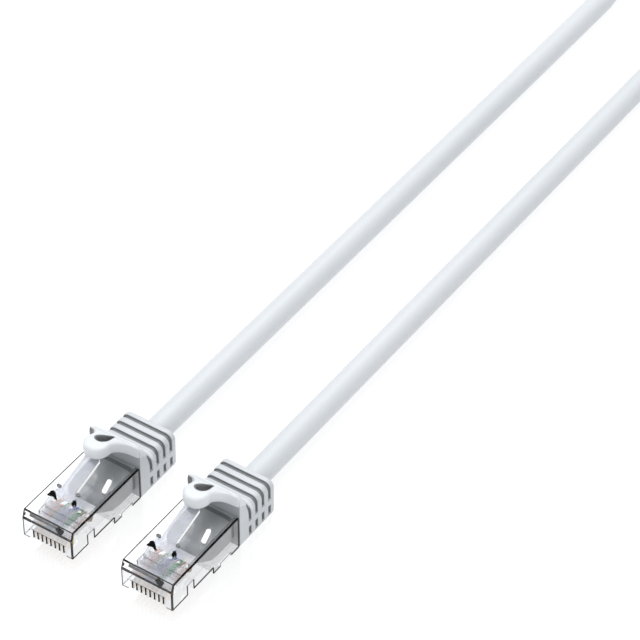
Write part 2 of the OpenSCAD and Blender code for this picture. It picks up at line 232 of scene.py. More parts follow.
M = {
    "boot": moulded("boot_pvc", (0.61, 0.635, 0.66), (0.66, 0.685, 0.71)),
    # painted shade: the boot's front face, a darker copy of the boot's PVC
    "boot_front_shade": moulded("boot_front_shade", (0.40, 0.415, 0.43), (0.46, 0.475, 0.49)),
    # painted shade in the boot's grooves
    "groove": moulded("boot_groove_shade", (0.22, 0.23, 0.235), (0.27, 0.28, 0.285), rough=(0.55, 0.7)),
    # the guard's PVC, also painted on the boot's rim slope as a highlight
    "guard": moulded("guard_pvc", (0.745, 0.775, 0.805), (0.785, 0.815, 0.84), rough=(0.3, 0.42)),
    "shade": moulded("guard_shade", (0.17, 0.175, 0.18), (0.24, 0.245, 0.25), rough=(0.5, 0.65)),
    # painted shade: the core is the boot's PVC, coloured darker for the shade inside the housing
    "core": moulded("core_pvc_shaded", (0.29, 0.30, 0.305), (0.35, 0.36, 0.365), rough=(0.35, 0.5), blotch=300),
    # painted shade: darker still on the core's last band and rear end
    "core_dark": moulded("core_gap_shade", (0.12, 0.125, 0.13), (0.165, 0.17, 0.175), rough=(0.5, 0.6)),
    "jacket": moulded("cable_jacket", (0.66, 0.69, 0.72), (0.71, 0.735, 0.765), rough=(0.34, 0.46),
                      grain=6000, blotch=60, stretch=(1, 0.25, 1)),
    "tie": moulded("tie_fabric", (0.020, 0.021, 0.023), (0.055, 0.057, 0.06), rough=(0.75, 0.95), grain=5200,
                   depth=0.00012, blotch=2600),
    # clear plastic, by how hazy each part of it looks
    "clear": clear("clear_pc", (0.992, 0.994, 0.998), (0.9, 0.92, 0.96), haze=(0.01, 0.05), gloss=0.2),
    "milky": clear("clear_pc_milky", (0.98, 0.98, 0.99), (0.93, 0.94, 0.98), haze=(0.5, 0.7), gloss=0.1),
    "latch": clear("latch_pc", (0.88, 0.89, 0.92), (0.66, 0.68, 0.73), haze=(0.22, 0.32), gloss=0.2),
    "bar": clear("load_bar_pc", (0.985, 0.985, 0.99), (0.88, 0.88, 0.92), haze=(0.2, 0.34), gloss=0.06,
                 roughness=0.15),
    # painted shade: a grey band in the right wall, where its plastic bends the light
    "wall_band_shade": clear("clear_pc_band_shade", (0.62, 0.63, 0.65), (0.3, 0.31, 0.32), haze=(0.2, 0.45), gloss=0.1),
    # painted light and shade for what clear plastic shows where it bends the light: dark edges and turns, and
    # a white highlight that glows
    "edge": moulded("clear_pc_edge", (0.002, 0.002, 0.002), (0.006, 0.006, 0.006), rough=(0.6, 0.8),
                    blotch=900, specular=0.04),
    "edge_soft": moulded("clear_pc_edge_soft", (0.28, 0.29, 0.31), (0.42, 0.43, 0.45), rough=(0.4, 0.6),
                         blotch=900, specular=0.2),
    "knuckle": moulded("latch_root_shade", (0.11, 0.115, 0.12), (0.2, 0.205, 0.215), rough=(0.3, 0.5),
                       blotch=900),
    # painted highlight: glowing white for a bar over the core and the latch's right side
    "glint": moulded("painted_highlight", (0.95, 0.95, 0.95), (0.99, 0.99, 0.99), rough=(0.2, 0.3), blotch=900,
                     glow=0.45),
    "gold": metal("contact_gold", (0.72, 0.52, 0.22), (0.88, 0.70, 0.36)),
    # painted shade: the contacts' front edges, deep in their slots
    "gold_shade": moulded("contact_gold_shade", (0.012, 0.010, 0.006), (0.05, 0.036, 0.016), rough=(0.4, 0.6),
                         blotch=2500, specular=0.1),
    "copper": metal("copper_strand", (0.62, 0.30, 0.18), (0.78, 0.42, 0.28), stretch=(1, 0.2, 1)),
    "wire_white": insulation("wire_white", (0.80, 0.80, 0.80), (0.88, 0.88, 0.87)),
    "orange": insulation("wire_orange", (0.85, 0.28, 0.08), (0.93, 0.36, 0.12)),
    "green": insulation("wire_green", (0.05, 0.34, 0.10), (0.08, 0.44, 0.15)),
    "blue": insulation("wire_blue", (0.05, 0.10, 0.55), (0.09, 0.16, 0.66)),
    "brown": insulation("wire_brown", (0.24, 0.10, 0.045), (0.33, 0.15, 0.07)),
}


def make_floor():
    """Glossy white floor that glows a little, so that the model throws almost no shadow on it."""
    mat, tree, shader = material("floor")
    soft = texture(tree, 3, 2)
    tree.links.new(ramp(tree, soft, (0.24, 0.24, 0.24), (0.25, 0.25, 0.25)), shader.inputs["Base Color"])
    shader.inputs["Emission Color"].default_value = (1, 1, 1, 1)
    shader.inputs["Emission Strength"].default_value = 0.76
    shader.inputs["Roughness"].default_value = 0.03
    shader.inputs["Specular IOR Level"].default_value = 1.0
    me = bpy.data.meshes.new("floor")
    s = FLOOR_HALF
    me.from_pydata([(-s, -s, 0), (s, -s, 0), (s, s, 0), (-s, s, 0)], [], [(0, 1, 2, 3)])
    me.materials.append(mat)
    ob = bpy.data.objects.new("floor", me)
    scene.collection.objects.link(ob)


# ------------------------------------------------------------ mesh helpers


def place(end, p):
    """A point of a plug's drawing, in mm, put where that end's plug is in the scene."""
    return ((ENDS[end] * PLUG_X + p[0]) * MM, (p[1] + NOSE_Y) * MM, p[2] * MM)


def drawn(end, v):
    """The way back: a point of the scene in the plug's drawing, in mm."""
    return Vector((v.x / MM - ENDS[end] * PLUG_X, v.y / MM - NOSE_Y, v.z / MM))


def link_mesh(name, me, mats, sharp):
    """Links a mesh with its materials, outward normals, and shading that is smooth up to an angle."""
    for mat in mats:
        me.materials.append(M[mat])
    bm = bmesh.new()
    bm.from_mesh(me)
    bmesh.ops.recalc_face_normals(bm, faces=bm.faces)
    bm.to_mesh(me)
    bm.free()
    me.polygons.foreach_set("use_smooth", [True] * len(me.polygons))
    me.set_sharp_from_angle(angle=math.radians(sharp))
    me.update()
    ob = bpy.data.objects.new(name, me)
    scene.collection.objects.link(ob)
    return ob


def mesh_piece(name, parts, mats, sharp):
    """One piece from parts, each (corners, faces, the name of each face's material)."""
    verts, faces, slots = [], [], []
    for part_verts, part_faces, looks in parts:
        base = len(verts)
        verts += [tuple(v) for v in part_verts]
        faces += [tuple(base + i for i in face) for face in part_faces]
        slots += [mats.index(look) for look in looks]
    me = bpy.data.meshes.new(name)
    me.from_pydata(verts, [], faces)
    me.polygons.foreach_set("material_index", slots)
    return link_mesh(name, me, mats, sharp)


def bmesh_piece(name, bm, mats, sharp=30.0):
    me = bpy.data.meshes.new(name)
    bm.to_mesh(me)
    bm.free()
    return link_mesh(name, me, mats, sharp)


def part_of(bm, mats):
    """A bmesh as a part for mesh_piece. The bmesh is used up."""
    bm.verts.index_update()
    verts = [v.co.copy() for v in bm.verts]
    faces = [tuple(v.index for v in f.verts) for f in bm.faces]
    looks = [mats[f.material_index] for f in bm.faces]
    bm.free()
    return verts, faces, looks


def band(count, first, second):
    """Faces between two closed rings of corners, each given by the number of its first corner."""
    return [(first + j, first + (j + 1) % count, second + (j + 1) % count, second + j) for j in range(count)]


def prism(plan, ends, corner, look):
    """A flat outline of (u, v) carried between two heights. corner(u, v, height) gives each corner."""
    n = len(plan)
    verts = [corner(u, v, height) for height in ends for u, v in plan]
    faces = [tuple(range(n)), tuple(range(n, 2 * n)), *band(n, 0, n)]
    return verts, faces, [look] * len(faces)


def only(look):
    """The same material for every face of a tube."""
    return lambda ring, side: look


def tube(path, radius, sides, look_of):
    """Round bar along a path. look_of(ring, side) names a face's material."""
    verts, faces, looks = [], [], []
    normal = None
    for k, p in enumerate(path):
        along = (path[min(k + 1, len(path) - 1)] - path[max(k - 1, 0)]).normalized()
        if normal is None:
            normal = along.orthogonal().normalized()
        normal = (normal - along * normal.dot(along)).normalized()
        across = along.cross(normal)
        for j in range(sides):
            a = 2 * math.pi * j / sides
            verts.append(p + radius * (math.cos(a) * normal + math.sin(a) * across))
    for k in range(len(path) - 1):
        faces += band(sides, k * sides, (k + 1) * sides)
        looks += [look_of(k, j) for j in range(sides)]
    last = len(path) - 1
    faces += [tuple(reversed(range(sides))), tuple(last * sides + j for j in range(sides))]
    looks += [look_of(0, 0), look_of(last, 0)]
    return verts, faces, looks


def ease(t):
    """Smooth step from 0 to 1."""
    t = min(1.0, max(0.0, t))
    return t * t * (3 - 2 * t)


def table(pairs, x):
    """Value at x in a list of (x, value), straight between them."""
    if x <= pairs[0][0]:
        return pairs[0][1]
    for (x0, v0), (x1, v1) in zip(pairs, pairs[1:]):
        if x <= x1:
            return v0 + (v1 - v0) * (x - x0) / (x1 - x0)
    return pairs[-1][1]


def smooth_line(points, step):
    """Points along a Catmull-Rom curve through the given ones, about a step apart."""
    given = [Vector(p) for p in points]
    given = [given[0] * 2 - given[1], *given, given[-1] * 2 - given[-2]]
    line = []
    for p0, p1, p2, p3 in zip(given, given[1:], given[2:], given[3:]):
        n = max(1, round((p2 - p1).length / step))
        for k in range(n):
            t = k / n
            square = (2 * p0 - 5 * p1 + 4 * p2 - p3) * t * t
            cube = (3 * p1 - p0 - 3 * p2 + p3) * t ** 3
            line.append(0.5 * (2 * p1 + (p2 - p0) * t + square + cube))
    line.append(given[-2])
    return line


# ------------------------------------------------------------ the cable

# the routes from the boots to the hank, in mm: the CAD model's points, and one more that leads into the hank
RUN_A = [
    (-11.6, 16.5, 4.15), (-11.6, 30, 4.1), (-11.6, 50, 3.9), (-11.6, 70, 3.7), (-11.6, 90, 3.5),
    (-11.6, 110, 3.3), (-11.6, 130, 3.1), (-11.6, 150, 2.9), (-11.6, 170, 2.75), (-11.6, 190, 2.7),
    (-11.8, 196, 2.7), (-13.2, 203, 2.8), (-15.6, 210, 3.0), (-18.3, 217, 3.2), (-20.4, 224, 3.35),
]
RUN_B = [
    (11.6, 16.5, 4.15), (11.6, 30, 4.1), (11.6, 50, 3.9), (11.6, 70, 3.7), (11.6, 90, 3.5),
    (11.6, 110, 3.3), (11.6, 130, 3.1), (11.6, 150, 2.9), (11.6, 170, 2.75), (11.7, 178, 2.75),
    (12.4, 186, 3.1), (14.5, 194, 3.9), (17.0, 202, 5.1), (19.4, 210, 6.5), (21.0, 218, 7.7),
    (21.2, 224, 8.45),
]
HANK_Y, HANK_L = 231.0, 45.5
LANE_OUT, LANE_IN = 21.2, 15.9
HANK_LOW_Z, HANK_HIGH_Z = 3.4, 8.7
# where the cable changes lane or layer in the hank: start and length, in turns
MOVE_IN, MOVE_UP, MOVE_OUT = (0.70, 0.3), (1.50, 0.3), (1.80, 0.45)
QUARTERS = 11
STRAIGHT_STEPS, BEND_STEPS = 16, 30


def hank_points():
    """Two and three quarter turns: the outer and inner lanes on the strap, then up and outwards on top."""
    points = []
    for quarter in range(QUARTERS):
        steps = STRAIGHT_STEPS if quarter % 2 == 0 else BEND_STEPS
        for k in range(steps):
            part = k / steps
            turn = (quarter + part) / 4
            moves = (MOVE_IN, MOVE_OUT, MOVE_UP)
            moved_in, moved_out, moved_up = [ease((turn - start) / span) for start, span in moves]
            lane = LANE_OUT - (LANE_OUT - LANE_IN) * (moved_in - moved_out)
            z = HANK_LOW_Z + (HANK_HIGH_Z - HANK_LOW_Z) * moved_up
            if quarter % 4 == 0:
                point = (-lane, HANK_Y + HANK_L * part, z)
            elif quarter % 4 == 2:
                point = (lane, HANK_Y + HANK_L * (1 - part), z)
            else:
                far = quarter % 4 == 1
                a = math.pi * (1 - part) if far else -math.pi * part
                bend_y = HANK_Y + HANK_L if far else HANK_Y
                point = (lane * math.cos(a), bend_y + lane * math.sin(a), z)
            points.append(Vector(point))
    points.append(Vector((LANE_OUT, HANK_Y, HANK_HIGH_Z)))
    return points


def make_cable():
    hank = hank_points()
    run_a = smooth_line([*RUN_A, hank[0]], 3.0)[:-1]
    run_b = smooth_line([*RUN_B, hank[-1]], 3.0)[:-1]
    path = [p * MM for p in run_a + hank + list(reversed(run_b))]
    print("cable length on its route:", round(sum((b - a).length for a, b in zip(path, path[1:])), 4))
    curve = bpy.data.curves.new("cable", "CURVE")
    curve.dimensions = "3D"
    curve.bevel_depth = CABLE_D / 2
    curve.bevel_resolution = 8
    curve.use_fill_caps = True
    spline = curve.splines.new("POLY")
    spline.points.add(len(path) - 1)
    for point, p in zip(spline.points, path):
        point.co = (*p, 1)
    spline.use_smooth = True
    curve.materials.append(M["jacket"])
    ob = bpy.data.objects.new("cable", curve)
    scene.collection.objects.link(ob)
    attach(ob, "cable")
    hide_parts("cable_run_a", "cable_run_b", "cable_hank")
    return ob


TIE_HALF_W, TIE_THICK = 0.0038, 0.0006
TIE_CORNER = 0.0035
TIE_STEPS = 96


def tie_section():
    """The strap's cross-section with its edges rounded off: (along y, inwards) in metres."""
    w, thick, off_y, off_in = TIE_HALF_W, TIE_THICK, 0.0003, 0.00015
    return [(-w, off_in), (-w + off_y, 0), (0, 0), (w - off_y, 0), (w, off_in),
            (w, thick - off_in), (w - off_y, thick), (0, thick), (-w + off_y, thick), (-w, thick - off_in)]


def rounded_turn(half_x, half_z, distance):
    """Point (x, z) and outward direction at a distance around the rounded rectangle of the strap."""
    straight_x, straight_z, quarter = half_x - TIE_CORNER, half_z - TIE_CORNER, math.pi / 2 * TIE_CORNER
    x, z, heading = half_x, -straight_z, math.pi / 2
    for k, length in enumerate([2 * straight_z, quarter, 2 * straight_x, quarter] * 2):
        step = min(distance, length)
        distance -= step
        if k % 2 == 0:
            x += step * math.cos(heading)
            z += step * math.sin(heading)
        else:
            before = heading - math.pi / 2
            heading += step / TIE_CORNER
            after = heading - math.pi / 2
            x += TIE_CORNER * (math.cos(after) - math.cos(before))
            z += TIE_CORNER * (math.sin(after) - math.sin(before))
    outward = heading - math.pi / 2
    return (x, z), (math.cos(outward), math.sin(outward))


def make_tie():
    """Fabric strap around the middle of the hank."""
    low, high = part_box("cable_tie")
    centre = (low + high) / 2
    half_x, half_z = (high.x - low.x) / 2 - 0.0001, (high.z - low.z) / 2 - 0.00005
    around = 4 * (half_x + half_z) - 8 * TIE_CORNER + 2 * math.pi * TIE_CORNER
    section = tie_section()
    verts, faces = [], []
    for k in range(TIE_STEPS):
        (x, z), (out_x, out_z) = rounded_turn(half_x, half_z, around * k / TIE_STEPS)
        for y, inset in section:
            verts.append((centre.x + x - out_x * inset, centre.y + y, centre.z + z - out_z * inset))
        faces += band(len(section), k * len(section), (k + 1) % TIE_STEPS * len(section))
    ob = mesh_piece("cable_tie_strap", [(verts, faces, ["tie"] * len(faces))], ["tie"], 50)
    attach(ob, "cable")
    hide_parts("cable_tie")
    return ob


# ------------------------------------------------------------ plug housing, latch and small parts


def cad_mesh(node):
    """A CAD node's mesh with its flat faces joined, in the scene's metres."""
    bm = bmesh.new()
    bm.from_mesh(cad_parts[node].data)
    bmesh.ops.remove_doubles(bm, verts=bm.verts, dist=2e-6)
    bmesh.ops.dissolve_limit(bm, angle_limit=math.radians(1.0), verts=bm.verts, edges=bm.edges)
    return bm


def is_corner(edge):
    return len(edge.link_faces) == 2 and edge.calc_face_angle(0.0) > math.radians(25)


def bevelled(bm, edges, offset, slot):
    bmesh.ops.bevel(bm, geom=edges, offset=offset * MM, offset_type="OFFSET", segments=2, profile=0.5,
                    affect="EDGES", clamp_overlap=True, material=slot)


HOUSING_MATS = ["clear", "edge", "edge_soft", "milky", "glint", "knuckle", "wall_band_shade"]
# a side wall's outline from the nose's upper edge down and around: y, z, and the radius of the dark bar that
# runs to the next corner. The nose's radius differs from side to side, and THIN bars are soft.
THIN = 0.08
NOSE = None
SIDE_OUTLINE = [
    (0.6, PLUG_H, NOSE), (0, 6.3, NOSE), (0, 1.5, 0.11), (4.75, 1.5, 0.11), (4.75, 4.1, THIN),
    (6.8, 4.1, 0.11), (6.8, 1.5, 0.13), (13.2, 1.5, 0.11), (13.2, 0, 0.11), (15.4, 0, THIN),
    (15.4, 0.8, THIN), (18.9, 0.8, THIN), (18.9, 0, 0.13), (PLUG_L, 0, 0.11), (PLUG_L, PLUG_H, NOSE),
]


def edge_bars():
    """The housing's edges as bars of painted shade, dark where the clear plastic bends the light: their ends
    in mm, radius and material.
    """
    w = HALF_W
    bars = [
        ((-w, 0.6, PLUG_H), (w, 0.6, PLUG_H), 0.11, "edge"),
        ((-w, 0.6, PLUG_H), (-4.3, 0.6, PLUG_H), 0.2, "edge"),
        ((-w, 0, 6.3), (w, 0, 6.3), 0.2, "edge"),
        ((-w, 0, 6.3), (-4.0, 0, 6.3), 0.25, "edge"),
        ((-w, 0.2, 6.9), (-w, 0.35, 7.3), 0.25, "edge"),
        ((-w, PLUG_L, PLUG_H), (w, PLUG_L, PLUG_H), 0.07, "edge_soft"),
        ((-4.1, 0.2, 3.8), (4.1, 0.2, 3.8), 0.1, "edge"),
    ]
    # painted shade: one dark bar in the slot in front of each contact
    for x in [(i - 4.5) * WIRE_PITCH for i in WAYS]:
        bars.append(((x, 0.22, 1.75), (x, 0.22, 3.75), 0.2, "edge"))
    for side, top_r, nose_r in ((-1, 0.105, 0.13), (1, 0.21, 0.22)):
        x = side * w
        bars.append(((x, 0.6, PLUG_H), (x, PLUG_L, PLUG_H), top_r, "edge"))
        bars.append(((x, 0, 1.5), (side * 4.4, 0, 1.5), 0.11, "edge"))
        for (y0, z0, r), (y1, z1, _) in zip(SIDE_OUTLINE, SIDE_OUTLINE[1:]):
            look = "edge_soft" if r == THIN else "edge"
            bars.append(((x, y0, z0), (x, y1, z1), nose_r if r is NOSE else r, look))
    return bars


def set_inside(p, r):
    """A point on the housing's edge moved in, so that a bar of radius r does not stand out of the housing."""
    inside = Vector((0, 10, 4))
    inward = Vector([0.0 if abs(d) < 1e-6 else math.copysign(0.75 * r, d) for d in inside - p])
    if abs(p.x) < HALF_W - 0.01:
        inward.x = 0
    return p + inward


def make_housing(end):
    bm = cad_mesh(f"housing_{end}")
    # milky faces: the nose between the contacts, the walls of the load bar's bay, the roof over the contacts
    for f in bm.faces:
        c, n = drawn(end, f.calc_center_median()), f.normal
        nose = n.y < -0.9 and c.y < 0.4
        bay = 6.2 < c.y < 9.6 and abs(c.x) < 4.9 and c.z > 2.7 and (n.y < -0.5 or n.z < -0.4)
        roof = 0.8 < c.y < 3.7 and abs(c.x) < 4.3 and 5 < c.z < 6
        f.material_index = HOUSING_MATS.index("milky" if nose or bay or roof else "clear")
    parts = [part_of(bm, HOUSING_MATS)]
    for a, b, r, look in edge_bars():
        path = [Vector(place(end, set_inside(Vector(p), r))) for p in (a, b)]
        parts.append(tube(path, r * MM, 8, only(look)))

    def upright(x, y, z):
        return place(end, (x, y, z))

    def crosswise(y, z, x):
        return place(end, (x, y, z))

    def lengthwise(x, z, y):
        return place(end, (x, y, z))

    # painted light and shade as solids inside the clear walls, where the plastic bends the light: a glowing
    # highlight bar, a grey band along the right wall, and dark marks at the latch's root
    painted_highlight = [(2.55, 15.7), (2.75, 15.95), (3.2, 16.0), (3.42, 15.8), (4.25, 12.95), (4.12, 12.7),
                  (3.6, 12.62), (3.38, 12.8)]
    right_wall_band = [(5.0, 7.2), (5.15, 6.6), (5.62, 5.2), (5.68, 5.6), (5.68, 21.2), (4.95, 21.2), (4.9, 14.0)]
    latch_root = [(0.62, 6.75), (0.72, 6.6), (1.35, 6.75), (1.5, 7.0), (1.4, 7.3), (0.85, 7.25)]
    root_facet = [(1.5, 6.8), (2.25, 7.6), (2.75, 7.7), (3.5, 6.9), (2.95, 5.8), (2.3, 5.75)]
    parts += [
        prism(painted_highlight, (7.5, 7.92), upright, "glint"),
        prism(right_wall_band, (7.3, 7.86), upright, "wall_band_shade"),
        prism(latch_root, (-4.6, 2.1), crosswise, "knuckle"),
        prism(root_facet, (0.62, 0.95), lengthwise, "edge"),
    ]
    ob = mesh_piece(f"housing_shell_{end}", parts, HOUSING_MATS, 30)
    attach(ob, "cable")
    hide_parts(f"housing_{end}")


LATCH_MATS = ["latch", "edge_soft", "clear", "glint"]
LATCH_SLOPE = 17.5  # degrees
LATCH_HINGE = Vector((0, 0.8, PLUG_H))
# painted shade: dark marks on the lever, where its plastic bends the light, as outlines of (across, along the
# lever) in mm
LEFT_SHOULDER = [(-3.0, 4.05), (-2.75, 4.7), (-2.85, 5.0), (-2.3, 5.4), (-1.75, 5.1), (-0.6, 4.0),
                 (-1.3, 4.0), (-1.8, 4.3)]
RIGHT_SHOULDER = [(2.4, 4.5), (2.95, 4.2), (3.05, 5.0), (2.75, 5.5), (2.35, 5.35)]
RIGHT_STOP = [(1.7, 6.75), (1.9, 6.5), (2.55, 6.55), (2.75, 6.85), (2.5, 7.15), (1.9, 7.15)]
LEFT_STOP = [(-x, along) for x, along in RIGHT_STOP]


def make_latch(end):
    bm = cad_mesh(f"latch_{end}")
    for f in bm.faces:
        y = drawn(end, f.calc_center_median()).y
        look = "latch" if y > 5.6 else "clear"
        # painted highlight on the lever's right side
        if f.normal.x > 0.7:
            look = "glint" if y > 6.5 else "latch"
        f.material_index = LATCH_MATS.index(look)
    long_corners = [e for e in bm.edges if is_corner(e) and e.calc_length() > 1.5 * MM
                    and abs(e.verts[0].co.x - e.verts[1].co.x) < 0.6 * MM]
    bevelled(bm, long_corners, 0.1, LATCH_MATS.index("edge_soft"))
    lever = bmesh_piece(f"latch_lever_{end}", bm, LATCH_MATS)
    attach(lever, f"latch_{end}")
    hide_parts(f"latch_{end}")

    slope = math.radians(LATCH_SLOPE)

    def on_lever(x, along, above):
        y = along * math.cos(slope) - above * math.sin(slope)
        z = along * math.sin(slope) + above * math.cos(slope)
        return place(end, LATCH_HINGE + Vector((x, y, z)))

    marks = [
        prism(LEFT_SHOULDER, (0.78, 1.25), on_lever, "edge"),
        prism(RIGHT_SHOULDER, (0.3, 1.28), on_lever, "edge"),
        prism(RIGHT_STOP, (0.5, 0.95), on_lever, "knuckle"),
        prism(LEFT_STOP, (0.5, 0.95), on_lever, "knuckle"),
    ]
    shade_marks = mesh_piece(f"latch_shade_marks_{end}", marks, ["edge", "knuckle"], 30)
    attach(shade_marks, f"latch_{end}")


WIRE_Z = 5.0
LAYER_TOP_Z, LAYER_LOW_Z = 4.75, 3.55
LAYER_PITCH = 1.02
WIRE_STATIONS = [1.0, 2.5, 4.5, 6.8, 7.4, 8.0, 8.6, 9.3, 10.0, 10.7, 11.4, 12.2, 15.0, 33.0]
WIRE_R, WIRE_CORE_R = 0.43, 0.24
WIRE_SIDES = 16
STRIPE_SIDES = (0, 1, 2, 8, 9, 10)  # the sides of a striped wire that are coloured
PAIRS = {"orange": (1, 2), "green": (3, 6), "blue": (4, 5), "brown": (7, 8)}


def wire_path(i):
    """The course of wire i in the plug's drawing: through the load bar, then into its layer in the jacket."""
    x0, x1 = (i - 4.5) * WIRE_PITCH, ((i - 1) // 2 - 1.5) * LAYER_PITCH
    z1 = LAYER_TOP_Z if i % 2 else LAYER_LOW_Z
    return [(x0 + (x1 - x0) * ease((y - 8.2) / 4.0), y, WIRE_Z + (z1 - WIRE_Z) * ease((y - 7.0) / 1.8))
            for y in WIRE_STATIONS]


def wire_course(end, i, step):
    return [Vector(place(end, p)) for p in smooth_line(wire_path(i), step)]


def striped(colour):
    """Two coloured stripes that wind around a white wire."""
    return lambda ring, side: colour if (side - ring // 2) % WIRE_SIDES in STRIPE_SIDES else "wire_white"


def make_wires(end):
    for colour, pair in PAIRS.items():
        parts = []
        for i in pair:
            look_of = striped(colour) if i % 2 else only(colour)
            parts.append(tube(wire_course(end, i, 0.7), WIRE_R * MM, WIRE_SIDES, look_of))
        ob = mesh_piece(f"wires_{colour}_pair_{end}", parts, [colour, "wire_white"], 60)
        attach(ob, "cable")
        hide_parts(f"wires_{colour}_{end}")
    parts = []
    for i in WAYS:
        path = wire_course(end, i, 1.2)
        path[0] = path[0] - Vector((0, 0.05 * MM, 0))  # a little out of its insulation
        parts.append(tube(path, WIRE_CORE_R * MM, 10, only("copper")))
    ob = mesh_piece(f"copper_conductors_{end}", parts, ["copper"], 60)
    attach(ob, "cable")
    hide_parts(f"copper_cores_{end}")


def make_contacts(end):
    """Gold blades, with painted shade on their front edges, which lie deep in the contact slots."""
    mats = ["gold", "gold_shade"]
    bm = cad_mesh(f"contacts_{end}")
    bevelled(bm, [e for e in bm.edges if is_corner(e)], 0.05, mats.index("gold"))
    for f in bm.faces:
        # painted shade on the faces that face the front
        f.material_index = mats.index("gold_shade" if f.normal.y < -0.3 else "gold")
    ob = bmesh_piece(f"contact_blades_{end}", bm, mats)
    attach(ob, "cable")
    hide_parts(f"contacts_{end}")


GUIDE_GAP, GUIDE_ROUNDING = 0.03, 0.09
STEP_LENGTH, STEP_DROP = 1.15, 0.5


def make_load_bar(end):
    """Clear wire guide: a block in two steps, rounded along its edges, that the wires run through."""
    mats = ["bar", "knuckle"]
    (x0, y0, z0), (x1, y1, z1) = [drawn(end, v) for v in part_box(f"load_bar_{end}")]
    x0, x1 = x0 + GUIDE_GAP, x1 - GUIDE_GAP
    step_y, step_z = y0 + STEP_LENGTH, z1 - STEP_DROP
    profile = [(y0, z0), (y0, step_z), (step_y, step_z), (step_y, z1), (y1, z1), (y1, z0)]
    verts, faces, _ = prism(profile, (x0, x1), lambda y, z, x: place(end, (x, y, z)), "bar")
    bm = bmesh.new()
    points = [bm.verts.new(v) for v in verts]
    for face in faces:
        bm.faces.new([points[i] for i in face])
    bmesh.ops.recalc_face_normals(bm, faces=bm.faces)
    bevelled(bm, list(bm.edges), GUIDE_ROUNDING, mats.index("bar"))
    parts = [part_of(bm, mats)]
    # dark lines where the steps and the rear edge bend the light
    lines = [(step_y, step_z + 0.08, 0.075), (y0 + 0.08, step_z - 0.08, 0.05), (y1 - 0.1, z1 - 0.08, 0.04)]
    for y, z, r in lines:
        path = [Vector(place(end, (x, y, z))) for x in (x0 + 0.1, x1 - 0.1)]
        parts.append(tube(path, r * MM, 8, only("knuckle")))
    ob = mesh_piece(f"wire_guide_{end}", parts, mats, 30)
    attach(ob, "cable")
    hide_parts(f"load_bar_{end}")


# ------------------------------------------------------------ boot

BOOT_HALF_W, BOOT_TOP, RIM_Z, BOOT_Y0, BOOT_Y1 = 6.0, 8.4, 13.3, 21.5, 33.0
BOOT_MATS = ["boot", "groove", "guard", "boot_front_shade"]
TOP_PROFILE = [(BOOT_Y0, RIM_Z), (22.0, RIM_Z - 0.1), (22.5, 12.75), (25.0, 8.95), (25.5, 8.48),
               (26.0, BOOT_TOP)]
TOP_R, LOW_R, REAR_R = 1.6, 0.5, 0.35
# painted highlight: the rim's slope takes the guard's brighter material, up to this y and this many faces
# from the middle
HIGHLIGHT_END_Y, HIGHLIGHT_FACES = 26.4, 12
# the grooves go around the top, and the side groove in front of them is on the sides only
GROOVES = (27.1, 29.25, 31.4)
SIDE_GROOVE = 24.95
GROOVE_SHAPE = [(-0.58, 0.0), (-0.49, 0.03), (-0.44, 0.14), (-0.40, 0.5), (-0.32, 0.55), (0.0, 0.55),
                (0.32, 0.55), (0.40, 0.5), (0.44, 0.14), (0.49, 0.03), (0.58, 0.0)]
# painted shade: a face cut deeper than this depth gets the groove's dark material
GROOVE_SHADE_DEPTH = 0.28  # a face cut deeper than this shows the groove's material
# heights on the sides where the grooves are cut, and the outline's points there, close together at their ends
LOW_CUT, HIGH_CUT = (0.6, 2.94), 4.4
SIDE_Z = (0.52, 0.58, 0.66, 1.8, 2.85, 2.93, 3.0, 3.7, 4.33, 4.41, 4.5)
PLAIN_STATIONS = (BOOT_Y0, 21.6, 21.8, 22.0, 22.3, 22.7, 23.3, 23.9, 25.8, 26.1, 28.17, 30.32,
                  32.1, 32.5, 32.7, 32.8, 32.88, 32.94, 32.98, BOOT_Y1)
LEAN, LEAN_FRONT, LEAN_REAR, LEAN_Z = 1.35, 3.2, 1.5, 5.8
CABLE_Z, HOLE_R = 4.15, 2.68


def lean(y):
    """How far the top of the outline at y stands forward, so that the side groove bends forwards."""
    reach = LEAN_FRONT if y < SIDE_GROOVE else LEAN_REAR
    return LEAN * max(0.0, 1 - abs(y - SIDE_GROOVE) / reach)


def boot_section(y):
    """Half of the boot's outline at y, from the middle underneath up: (x, z, direction inwards, stretch)."""
    near_rear = 1 - min(1.0, (BOOT_Y1 - y) / REAR_R)
    round_in = REAR_R * (1 - math.sqrt(1 - near_rear ** 2))
    w, low = BOOT_HALF_W - round_in, round_in
    top = table(TOP_PROFILE, y - lean(y)) - round_in
    shoulder = top - TOP_R
    points = [(share * w, low, (0, 1), "low") for share in (0.0, 0.35, 0.7)]
    for k in range(5):
        a = math.pi / 2 * (k / 4 - 1)
        points.append((w - LOW_R + LOW_R * math.cos(a), low + LOW_R + LOW_R * math.sin(a),
                       (-math.cos(a), -math.sin(a)), "low"))
    points += [(w, max(z, low + LOW_R + 0.01), (-1, 0), "side") for z in SIDE_Z]
    side_top = SIDE_Z[-1]
    points += [(w, side_top + (shoulder - side_top) * k / 9, (-1, 0), "side") for k in range(1, 9)]
    for k in range(9):
        a = math.pi / 2 * k / 8
        points.append((w - TOP_R + TOP_R * math.cos(a), shoulder + TOP_R * math.sin(a),
                       (-math.cos(a), -math.sin(a)), "top_corner"))
    points += [(share * (w - TOP_R), top, (0, -1), "top") for share in (0.6, 0.3, 0.0)]
    return points


def groove_share(z, stretch, side_only, corner_step):
    """How much of a groove's depth a point of the outline takes."""
    if stretch == "low":
        return 0.0
    if stretch == "side":
        return 1.0 if LOW_CUT[0] < z < LOW_CUT[1] or z > HIGH_CUT else 0.0
    if not side_only:
        return 1.0
    return max(0.0, 1 - corner_step / 3) if stretch == "top_corner" else 0.0


